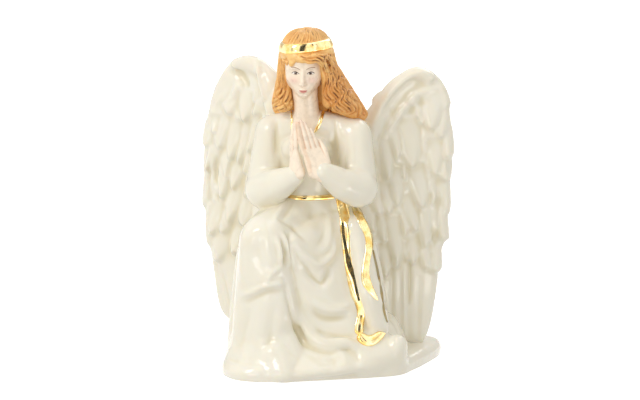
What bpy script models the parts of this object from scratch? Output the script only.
"""A kneeling angel figurine: one slip-cast porcelain piece with gown, wings, base and raised ribbons.

+Z is up and the figure faces -Y. The origin lies in the flat underside, below the figure's axis.
The free forms are laid out in units of which the figure is FIGURE_UNITS tall, so they keep their
proportions when FIGURE_HEIGHT changes. Sizes that stand alone are in metres.
Most places are given as seen by someone who stands a little to the figure's left and above it:
(across, up, depth), with the depth along Y, so that the front of the figure has negative depths.
"""

import math

import bmesh
import bpy
import numpy as np
from mathutils import Euler, Matrix, Vector
from mathutils.bvhtree import BVHTree

FIGURE_HEIGHT = 0.170  # underside to crown
FIGURE_UNITS = 170.0
UNIT = FIGURE_HEIGHT / FIGURE_UNITS

BASE_HEIGHT = 0.008
WING_THICKNESS = 0.0065
RIBBON_WIDTH = 0.0040
RIBBON_RISE = 0.0011
BELT_WIDTH = 0.0018
BELT_RISE = 0.0006
HEADBAND_WIDTH = 0.0048
HEADBAND_RISE = 0.0006

HEAD_TILT = math.radians(13)

VIEW_TURN = math.radians(14)
VIEW_RISE = math.radians(11)
VIEW_RIGHT = Vector((math.cos(VIEW_TURN), math.sin(VIEW_TURN), 0))
VIEW_UP = Vector((
    -math.sin(VIEW_TURN) * math.sin(VIEW_RISE),
    math.cos(VIEW_TURN) * math.sin(VIEW_RISE),
    math.cos(VIEW_RISE),
))

BAND_EDGE = 0.0006
VOXEL = 0.0012
TRIANGLES = 10400
BELOW_FLOOR = 5.0  # units of clay under the floor, cut off flat at the end

PORCELAIN = (0.88, 0.85, 0.76, 1.0)


# Shells of clay

def spot(across, up, depth):
    """The point in units that is seen at this place and lies at this depth."""
    x = (across - VIEW_RIGHT.y * depth) / VIEW_RIGHT.x
    return Vector((x, depth, (up - VIEW_UP.x * x - VIEW_UP.y * depth) / VIEW_UP.z))


def sphere_points(around, levels):
    """Points all over a ball of radius 1."""
    return [
        (math.sin(low) * math.cos(turn), math.sin(low) * math.sin(turn), math.cos(low))
        for low in (math.pi * (i + 0.5) / levels for i in range(levels))
        for turn in (math.tau * j / around for j in range(around))
    ]


SPHERE = sphere_points(24, 14)


class Clay:
    """Overlapping closed shells, given in units and fused later into one body."""

    def __init__(self):
        self.mesh = bmesh.new()

    def ball(self, place, radii, turn=(0, 0, 0)):
        radii = radii if hasattr(radii, "__len__") else (radii,) * 3
        placed = (
            Matrix.Translation(spot(*place) * UNIT)
            @ Euler([math.radians(a) for a in turn]).to_matrix().to_4x4()
            @ Matrix.Diagonal([r * UNIT for r in radii] + [1])
        )
        bmesh.ops.create_uvsphere(self.mesh, u_segments=28, v_segments=16, radius=1, matrix=placed)

    def draped(self, *balls):
        """The skin of cloth stretched over several balls, each as its place and radii."""
        loose = []
        for place, radii in balls:
            radii = radii if hasattr(radii, "__len__") else (radii,) * 3
            for point in SPHERE:
                loose.append(self.mesh.verts.new((spot(*place) + Vector(radii) * Vector(point)) * UNIT))
        made = bmesh.ops.convex_hull(self.mesh, input=loose)
        inside = [v for v in made["geom_interior"] if isinstance(v, bmesh.types.BMVert)]
        bmesh.ops.delete(self.mesh, geom=inside, context="VERTS")

    def limb(self, places, radii):
        """A round bar along a smooth path, with round ends."""
        tube(self.mesh, [spot(*place) for place in places], radii)
        for end in (0, -1):
            self.ball(places[end], radii[end])


def tube(mesh, points, radii, steps=6, sides=18):
    """A bar along a smooth path through the points."""
    path = smooth_path(points, steps)
    sizes = smooth_path([(r,) for r in radii], steps)[:, 0]
    rings = []
    for i, centre in enumerate(path):
        ahead = path[min(i + 1, len(path) - 1)] - path[max(i - 1, 0)]
        turn = Vector(ahead).to_track_quat("Z", "Y")
        rings.append([
            mesh.verts.new((Vector(centre) + turn @ spoke) * UNIT) for spoke in circle(sizes[i], sides)
        ])
    bridge(mesh, rings)


def circle(radius, sides):
    turns = [math.tau * i / sides for i in range(sides)]
    return [Vector((radius * math.cos(a), radius * math.sin(a), 0)) for a in turns]


def bridge(mesh, rings):
    """Joins rings of as many vertices into a closed tube with flat ends."""
    sides = len(rings[0])
    for low, high in zip(rings, rings[1:]):
        for i in range(sides):
            j = (i + 1) % sides
            mesh.faces.new((low[i], low[j], high[j], high[i]))
    mesh.faces.new(rings[0][::-1])
    mesh.faces.new(rings[-1])


def smooth_path(points, steps, closed=False):
    """A curve through the points, with so many steps for each stretch."""
    p = np.array(points, float)
    if closed:
        p = np.vstack([p[-1:], p, p[:2]])
    else:
        p = np.vstack([2 * p[0] - p[1], p, 2 * p[-1] - p[-2]])
    made = []
    for a, b, c, d in zip(p, p[1:], p[2:], p[3:]):
        for t in np.arange(steps) / steps:
            made.append(0.5 * (2 * b + (c - a) * t + (2 * a - 5 * b + 4 * c - d) * t**2
                               + (3 * b - a - 3 * c + d) * t**3))
    return np.array(made if closed else made + [p[-2]])


# Fusing and carving

def fused(clay_mesh, voxel, rounds):
    """One closed surface around every shell, rounded off by so many smoothing rounds."""
    source = bpy.data.meshes.new("clay")
    clay_mesh.to_mesh(source)
    clay_mesh.free()
    lump = bpy.data.objects.new("clay", source)
    bpy.context.scene.collection.objects.link(lump)
    remesh = lump.modifiers.new("fuse", "REMESH")
    remesh.mode = "VOXEL"
    remesh.voxel_size = voxel
    smooth = lump.modifiers.new("round_off", "SMOOTH")
    smooth.factor = 0.5
    smooth.iterations = rounds
    bpy.context.view_layer.update()
    graph = bpy.context.evaluated_depsgraph_get()
    made = bpy.data.meshes.new_from_object(lump.evaluated_get(graph))
    bpy.data.objects.remove(lump)
    return made


class Surface:
    """A mesh that is carved by moving its vertices along their normals."""

    def __init__(self, mesh):
        self.mesh = mesh
        self.refresh()

    def refresh(self):
        count = len(self.mesh.vertices)
        self.points = np.empty(count * 3, np.float32)
        self.mesh.vertices.foreach_get("co", self.points)
        self.points = self.points.reshape(-1, 3).astype(float)
        self.normals = np.empty(count * 3, np.float32)
        self.mesh.vertex_normals.foreach_get("vector", self.normals)
        self.normals = self.normals.reshape(-1, 3).astype(float)
        polygons = [tuple(p.vertices) for p in self.mesh.polygons]
        self.tree = BVHTree.FromPolygons([Vector(p) for p in self.points], polygons)

    def store(self):
        self.mesh.vertices.foreach_set("co", self.points.astype(np.float32).ravel())
        self.mesh.update()
        self.refresh()

    def seen(self, across, up):
        """The surface point seen at this place."""
        start = (VIEW_RIGHT * across + VIEW_UP * up - VIEW_UP.cross(VIEW_RIGHT) * FIGURE_UNITS * 2) * UNIT
        hit = self.tree.ray_cast(start, VIEW_UP.cross(VIEW_RIGHT))[0]
        return None if hit is None else np.array(hit)

    def laid(self, places, steps=5):
        """A path on the surface through the places seen."""
        hits = [self.seen(*place) for place in smooth_path(places, steps)]
        return np.array([hit for hit in hits if hit is not None])

    def fold(self, places, width, rise):
        """A soft ridge, or with a negative rise a hollow, along a path that fades at its ends."""
        distance, share = along(self.points, self.laid(places))
        fade = np.sin(np.pi * np.clip(share, 0.02, 0.98)) ** 0.5
        lift = rise * UNIT * fade * np.exp(-((distance / (width * UNIT)) ** 2))
        self.points += self.normals * lift[:, None]

    def band(self, places, width, rise):
        """A raised strip with a flat top and steep sides along a path; width and rise in metres."""
        distance, _ = along(self.points, self.laid(places))
        self.points += self.normals * (rise * flat_top(distance, width))[:, None]


def flat_top(distance, width):
    """1 within the width, falling to 0 over BAND_EDGE beyond it."""
    return np.clip((width / 2 + BAND_EDGE - distance) / BAND_EDGE, 0, 1)


def along(points, path):
    """For each point, its distance to a path and the share of the path's length where it is nearest."""
    best = np.full(len(points), np.inf)
    share = np.zeros(len(points))
    lengths = np.linalg.norm(np.diff(path, axis=0), axis=1)
    total, done = lengths.sum(), 0.0
    for a, b, length in zip(path, path[1:], lengths):
        t = np.clip(((points - a) @ (b - a)) / max(length, 1e-9) ** 2, 0, 1)
        distance = np.linalg.norm(points - a - t[:, None] * (b - a), axis=1)
        nearer = distance < best
        best[nearer] = distance[nearer]
        share[nearer] = (done + t[nearer] * length) / total
        done += length
    return best, share


# The body

def add_base(clay):
    """The low foot: a rounded slab that the gown spreads over, outlined in x and y."""
    edge = [
        (-42, -4), (-40, -21), (-35.5, -35), (-26, -44.5), (-12, -45), (6, -38), (26, -27.5), (43, -15),
        (47.5, 0), (51, 20), (53, 42), (48, 53), (28, 54), (2, 48), (-24, 40), (-38, 20),
    ]
    outline = smooth_path(edge, 5, closed=True)
    centre = outline.mean(axis=0)
    top = BASE_HEIGHT / UNIT
    levels = ((-BELOW_FLOOR, 0.975), (0, 0.985), (top * 0.45, 1.0), (top * 0.85, 0.96), (top, 0.86))
    rings = [
        [clay.mesh.verts.new(Vector((*(centre + (p - centre) * share), z)) * UNIT) for p in outline]
        for z, share in levels
    ]
    bridge(clay.mesh, rings)


def add_gown(clay):
    """Hips, raised knee, kneeling leg and the cloth that falls from them and spreads on the base."""
    low = -BELOW_FLOOR
    knee = ((-22.5, 60, -25), (13, 12, 13.5))
    shin = ((-20, 24, -27), (14, 11, 12))
    clay.draped(((-3, 84, 0), (11.5, 9, 5)), ((-1, 71, 3), (19, 14, 12)))
    clay.draped(((-12, 69, 1), (14, 13, 12)), knee)
    clay.draped(((-4, 80, -2), (8, 7, 4)), ((-16, 72, -10), (12, 9, 5)), knee)
    clay.draped(knee, shin, ((-25, low, -24), (16, 12, 8)))
    clay.draped(((-27, 52, -8), (9.5, 12, 16)), ((-26, low, -6), (16, 18, 8)))
    clay.draped(((12, 66, 3), (15, 13, 13)), ((18.5, 32, -4), (15.5, 13, 14)), ((22, low, -5), (15, 11, 8)))
    clay.draped(((-9, 58, -23), (6, 7, 8)), ((8, 62, -5), (9, 8, 12)), ((7, 40, -13), (11, 9, 10)))
    clay.draped(((-9, 58, -23), (6, 7, 8)), ((2, 22, -19), (7, 7, 7)), ((20, 15, -12), (8, 8, 7)),
                ((7, 40, -13), (11, 9, 10)))
    clay.draped(((1, 68, 9), (19, 13, 14)), ((4, 0, 22), (34, 22, 8)))
    clay.draped(((32, 16, 12), (11, 15, 11)), ((34, 0, 24), (17, 22, 8)))
    clay.draped(((-21, 22, -26), (12, 9, 8)), ((-36, 1, -20), (7.5, 10, 6)), ((-22, -2, -35), (11, 7, 6)),
                ((-6, -1, -31), (6, 7, 6)))
    clay.draped(((2, 17, -16), (9, 8, 8)), ((-4, 3, -26), (7, 8, 7)), ((10, 3, -25), (8, 7, 6)))
    clay.draped(((20, 16, -10), (9, 9, 8)), ((24, 1, -20), (9, 8, 7)), ((38, 5, -8), (6, 8, 8)))
    for place, radii in (((-13, 0, -35), (8, 7, 7)), ((6, 2, -28), (6, 6, 5)), ((38, 10, -9), (5.5, 7, 7))):
        clay.ball(place, radii)


def add_torso(clay):
    clay.draped(((-2.5, 106, -1), (15, 10, 9)), ((-3, 86, 0), (11.5, 8.5, 5)))
    clay.draped(((-19, 114.5, 2), 7.5), ((20.5, 112.5, 2), 8), ((-2.5, 119, 0), (9, 7, 6)))
    clay.draped(((-18, 108, 4), 8), ((-16, 92, 4), 8), ((14, 92, 4), 8), ((19, 108, 4), 8))
    for across in (-9, 3):
        clay.ball((across, 105, -7), (6, 4.5, 6))
    clay.limb([(-2.5, 116, 0), (-3, 125, -3), (-3.5, 136, -6)], (7.5, 5.8, 6))


def add_arms(clay):
    """Full sleeves down to the wrists."""
    for shoulder, elbow, forearm, wrist in (
        ((-19.5, 113.5, 1), (-23, 85.5, -8), (-16, 88, -17), (-8.5, 92, -23)),
        ((21, 111.5, 1), (22.5, 86, -8), (15, 88, -16), (5.5, 94, -23)),
    ):
        clay.draped((shoulder, 8.2), ((*elbow[:2], elbow[2] + 3), 9.4))
        clay.draped((elbow, 9.6), (forearm, 7.8))
        clay.draped((forearm, 7.8), (wrist, 5.4))


def add_hands(clay):
    """Two flat hands, palm to palm, with the fingertips under the chin."""
    clay.draped(((0.5, 91, -26), 2.6), ((7, 97.5, -21), 2.8), ((3.4, 106, -21), 2.2),
                ((-3, 105, -26), 2.2), ((-6, 117, -25.5), 1.4))
    clay.draped(((-5, 91, -25), 2.6), ((-5.5, 99, -21), 2.8), ((-7, 107, -21), 2.2),
                ((-7.5, 105, -25), 2), ((-7.2, 117, -25), 1.3))


def add_head(clay):
    """A bowed head with its hair down to the shoulders."""
    tilt = (math.degrees(HEAD_TILT), 0, 0)
    clay.ball((-4, 143.5, -9), (9.2, 10, 14.5), tilt)
    clay.ball((-3.8, 133.5, -13.5), (4.4, 4.2, 4))
    clay.limb([(-4.1, 148, -18), (-4.3, 141.5, -20.3)], (1.2, 1.7))
    clay.ball((-4, 151.5, -4.5), (12.2, 13.4, 14.8), tilt)
    clay.draped(((-3, 150, 3), (12, 9, 12)), ((-17, 126, 6), (4.5, 5, 5)), ((23.5, 121.5, 8), (4, 5, 4)),
                ((2, 120, 10), (10, 4, 4)))
    clay.draped(((-12.5, 152, -5), (3.6, 6, 6)), ((-14.2, 138, -8.5), (3.2, 4, 5)))
    clay.draped(((-14.2, 138, -8.5), (3.2, 4, 5)), ((-14.6, 128, -7), (5.6, 4.5, 4.5)))
    clay.draped(((5.5, 152, -5), (4.5, 7, 7)), ((9.5, 140, -8), (4.8, 4, 5)))
    clay.draped(((9.5, 140, -8), (4.8, 4, 5)), ((12.6, 128, -4), (8, 5, 5)), ((20, 124, 2), (5, 5, 4)))


# The wings

WING_ROOT = (10.0, 13.0)  # where the wings leave the back
WING_SPREAD = (0.93, 0.37)  # how far a wing goes sideways and back for each unit of its width
WING_EDGES = {
    1: [(0, 60), (2, 100), (13, 116), (20, 130), (30, 139.5), (40, 144), (47.5, 141), (52.5, 133), (55, 119),
        (56, 104), (54, 79), (50, 51), (46, 22), (40, 7), (26, 3), (12, 5), (3, 28)],
    -1: [(0, 60), (2, 104), (11, 122), (15, 137), (23, 145), (32, 147), (41, 144.5), (47, 137), (52, 126),
         (55, 111), (56.5, 87), (54.5, 58), (51, 36), (47, 19), (38, 13), (24, 12), (10, 14), (3, 30)],
}


def wing_place(side, width, height, depth=0.0):
    """The place of a wing's point; the depth is towards the front."""
    bow = 3.0 * math.sin(math.pi * min(max(width / 56, 0), 1))
    return Vector((
        side * (WING_ROOT[0] + WING_SPREAD[0] * width + WING_SPREAD[1] * depth),
        WING_ROOT[1] + WING_SPREAD[1] * width + bow - WING_SPREAD[0] * depth,
        height,
    ))


def add_wing(clay, side):
    """A thick leaf, rounded at its rim, with a heavier arm along its leading edge."""
    outline = smooth_path(WING_EDGES[side], 5, closed=True)
    centre = np.array((28.0, 78.0))
    half = WING_THICKNESS / UNIT / 2
    shares = (1.0, 0.97, 0.9, 0.75, 0.5, 0.25)
    layers = [(share, -1) for share in shares[::-1]] + [(share, 1) for share in shares[1:]]
    rings = []
    for share, face in layers:
        depth = face * half * math.sqrt(max(0.0, 1 - share**8))
        ring = [centre + (p - centre) * share for p in outline]
        rings.append([clay.mesh.verts.new(wing_place(side, *p, depth) * UNIT) for p in ring])
    bridge(clay.mesh, rings)
    arm = [wing_place(side, w * 0.93 + 1, h - 3, 0.5) for w, h in [(2, 96), *WING_EDGES[side][2:7]]]
    tube(clay.mesh, arm, (7, 6, 5, 4.6, 4.4, 4))


def feathers(side):
    """The feathers of a wing as (root, tip, half width, rise), upper rows last."""
    made = []
    foot = 6 if side > 0 else 15
    for i in range(6):
        at = 8 + 8.2 * i
        made.append(((at, 66), (at * 0.94 + 1, foot), 4.6, 2.0))
    rows = ((60, 26, 2.6), (76, 25, 2.8), (92, 24, 2.8), (107, 22, 2.8), (121, 19, 2.6), (134, 17, 2.2))
    for row, (tip, length, rise) in enumerate(rows):
        for i in range(6):
            at = 9 + 9.0 * i + 4.5 * (row % 2)
            lean = 2.6 * math.sin(1.7 * i + 2.3 * row)
            drop = 3.0 * math.sin(2.9 * i + 1.1 * row)
            end = (at + lean + 1.5, tip - 10 + drop - 0.10 * at)
            made.append(((at - 2 - lean, end[1] + length), end, 5.4, rise))
    return made


def carve_feathers(surface, side):
    """Raises overlapping lobes on both faces of a wing, each highest near its tip."""
    points = surface.points / UNIT
    spread = Vector(WING_SPREAD).length
    sideways = points[:, 0] * side - WING_ROOT[0]
    back = points[:, 1] - WING_ROOT[1]
    width = (sideways * WING_SPREAD[0] + back * WING_SPREAD[1]) / spread**2
    depth = (sideways * WING_SPREAD[1] - back * WING_SPREAD[0]) / spread**2
    bow = 3.0 * np.sin(np.pi * np.clip(width / 56, 0, 1))
    in_wing = (np.abs(depth + bow) < 7) & (width > 7) & (points[:, 2] > BASE_HEIGHT / UNIT + 1)
    height = np.zeros(len(points))
    for root, tip, half, rise in feathers(side):
        axis = np.array(tip) - np.array(root)
        length = np.linalg.norm(axis)
        axis /= length
        from_root = np.column_stack([width, points[:, 2]]) - np.array(root)
        share = (from_root @ axis) / length
        across = from_root @ np.array((-axis[1], axis[0])) / half
        taper = np.sqrt(np.clip(1 - np.clip((share - 0.55) / 0.45, 0, 1) ** 2, 0, 1))
        lobe = np.clip(1 - (across / np.maximum(taper, 0.05)) ** 2, 0, 1) ** 0.6
        lobe *= rise * np.clip(share, 0, 1) ** 0.8 * (share < 1)
        height = np.where(in_wing & (lobe > 0.25 * rise), lobe, height)
    surface.points += surface.normals * (height * UNIT)[:, None]


# The drapery, the ribbons and the bands

def carve_folds(surface):
    """The folds of the gown, each as places seen, its width and its rise."""
    for places, width, rise in (
        # The rolled edge that falls from the knee and runs along the hem, and the hollow beside it
        ([(-10, 57), (-8, 47), (-4.6, 39), (-4.5, 31.6), (-3.6, 23), (0, 16.7), (5.2, 12.8), (11.7, 14),
          (18, 13.5), (23.4, 9), (25.3, 4.4)], 2.6, 2.2),
        ([(-13, 42), (-11.7, 37.5), (-9.1, 31), (-7.8, 24.5), (-6.5, 18), (-3.9, 11.5), (1.3, 10.2), (9.1, 9.2),
          (14.9, 10.2), (17.2, 7)], 2.0, -3.2),
        # Nested folds across the lap
        ([(-15.6, 70.6), (-10.4, 68), (-5.2, 63.5), (-2, 60)], 1.6, -1.8),
        ([(-6.5, 75), (-2, 70), (1.5, 63.5)], 2.2, 1.5),
        ([(8.4, 74), (8, 60), (4, 55)], 2.2, 1.4),
        ([(-9, 60), (-7.8, 58), (-2.6, 52.4), (2.6, 49.2), (7.1, 51.1), (10.4, 55.7), (11, 63)], 2.2, 2.0),
        ([(-4, 49.2), (0, 43.3), (4.5, 40), (7.1, 42.7), (9.1, 48)], 2.0, -2.2),
        ([(-1.3, 31.6), (5.2, 28.4), (11.7, 27.1), (18.8, 29.7)], 2.2, 1.6),
        ([(-1.3, 27), (5.2, 22.8), (12, 22.5), (18.2, 23.5)], 2.4, -1.6),
        # The edge of the overskirt on the raised thigh
        ([(-11, 82), (-15.6, 75), (-19, 69)], 2.2, 1.8),
        ([(-9, 79), (-12.5, 73.5), (-15.5, 70)], 2.0, -2.0),
        # The raised knee and the shin
        ([(-15.5, 61), (-13.2, 50)], 1.2, 1.0),
        ([(-12.2, 61), (-9.5, 50)], 1.2, 1.0),
        ([(-23, 41), (-19, 45), (-14, 49)], 1.6, 1.0),
        ([(-24, 66), (-26, 55), (-24, 45)], 4.0, -1.4),
        ([(-32, 70), (-33.5, 55), (-33, 36)], 3.0, 1.2),
        # The cloth over the kneeling leg
        ([(22, 63), (24, 46), (28, 27), (31, 15)], 2.6, 1.4),
        ([(26, 73), (30, 64), (30.5, 57), (33.8, 46), (34.4, 36), (37, 26)], 1.8, -1.8),
    ):
        surface.fold(places, width, rise)


def raise_bands(surface):
    """The two ribbons with the curl at the end of the longer one, the thin edge beside them and the belt."""
    for places, width, rise in (
        ([(14, 78), (15, 66), (16, 54), (19, 35), (22, 26), (21, 17), (24, 9)], RIBBON_WIDTH, RIBBON_RISE),
        ([(23, 11.5), (28, 14.5), (32, 11.5)], RIBBON_WIDTH, RIBBON_RISE),
        ([(20, 75), (25, 67), (27, 60), (25.5, 46), (28, 36), (30, 31)], RIBBON_WIDTH * 0.7, RIBBON_RISE),
        ([(-13, 82.5), (-4, 82.3), (6, 82.3)], BELT_WIDTH, BELT_RISE),
    ):
        surface.band(places, width, rise)


def raise_headband(surface):
    """A raised band round the hair, tilted with the head."""
    middle = np.array(spot(-4, 154.5, -4.5)) * UNIT
    axis = np.array(Euler((HEAD_TILT, 0, 0)).to_matrix() @ Vector((0, 0, 1)))
    off = surface.points - middle
    up = off @ axis
    out = np.linalg.norm(off - up[:, None] * axis, axis=1)
    near = out < 16 * UNIT
    lift = HEADBAND_RISE * flat_top(np.abs(up), HEADBAND_WIDTH) * near
    surface.points += surface.normals * lift[:, None]


# The whole piece

def model_figure():
    clay = Clay()
    add_base(clay)
    add_gown(clay)
    add_torso(clay)
    add_arms(clay)
    for side in (-1, 1):
        add_wing(clay, side)
    surface = Surface(fused(clay.mesh, VOXEL, 8))
    carve_folds(surface)
    surface.store()
    for side in (-1, 1):
        carve_feathers(surface, side)
    surface.store()

    finer = Clay()
    add_head(finer)
    add_hands(finer)
    finer.mesh.from_mesh(surface.mesh)
    surface = Surface(fused(finer.mesh, VOXEL * 0.8, 2))
    raise_bands(surface)
    raise_headband(surface)
    surface.store()
    return surface.mesh


def thinned(mesh, triangles):
    """The mesh with about so many triangles."""
    lump = bpy.data.objects.new("fine", mesh)
    bpy.context.scene.collection.objects.link(lump)
    mesh.calc_loop_triangles()
    thin = lump.modifiers.new("thin", "DECIMATE")
    thin.ratio = triangles / len(mesh.loop_triangles)
    bpy.context.view_layer.update()
    graph = bpy.context.evaluated_depsgraph_get()
    made = bpy.data.meshes.new_from_object(lump.evaluated_get(graph))
    bpy.data.objects.remove(lump)
    return made


def cut_flat(mesh):
    """Cuts the clay off at the floor and closes it with one flat face."""
    made = bmesh.new()
    made.from_mesh(mesh)
    cut = bmesh.ops.bisect_plane(
        made, geom=made.verts[:] + made.edges[:] + made.faces[:], dist=1e-7,
        plane_co=(0, 0, 0), plane_no=(0, 0, -1), clear_outer=True,
    )
    rim = [e for e in cut["geom_cut"] if isinstance(e, bmesh.types.BMEdge)]
    bmesh.ops.edgeloop_fill(made, edges=rim)
    bmesh.ops.recalc_face_normals(made, faces=made.faces)
    made.to_mesh(mesh)
    made.free()
    return mesh


def glaze():
    material = bpy.data.materials.new("ivory_porcelain")
    material.use_nodes = True
    shader = material.node_tree.nodes["Principled BSDF"]
    shader.inputs["Base Color"].default_value = PORCELAIN
    shader.inputs["Roughness"].default_value = 0.15
    shader.inputs["Metallic"].default_value = 0.0
    material.diffuse_color = PORCELAIN
    return material


def main():
    for old in list(bpy.data.objects):
        bpy.data.objects.remove(old)
    mesh = cut_flat(thinned(model_figure(), TRIANGLES))
    mesh.name = "angel_figurine"
    mesh.materials.clear()
    mesh.materials.append(glaze())
    figurine = bpy.data.objects.new("angel_figurine", mesh)
    bpy.context.scene.collection.objects.link(figurine)
    mesh.shade_smooth()
    mesh.set_sharp_from_angle(angle=math.radians(50))


main()
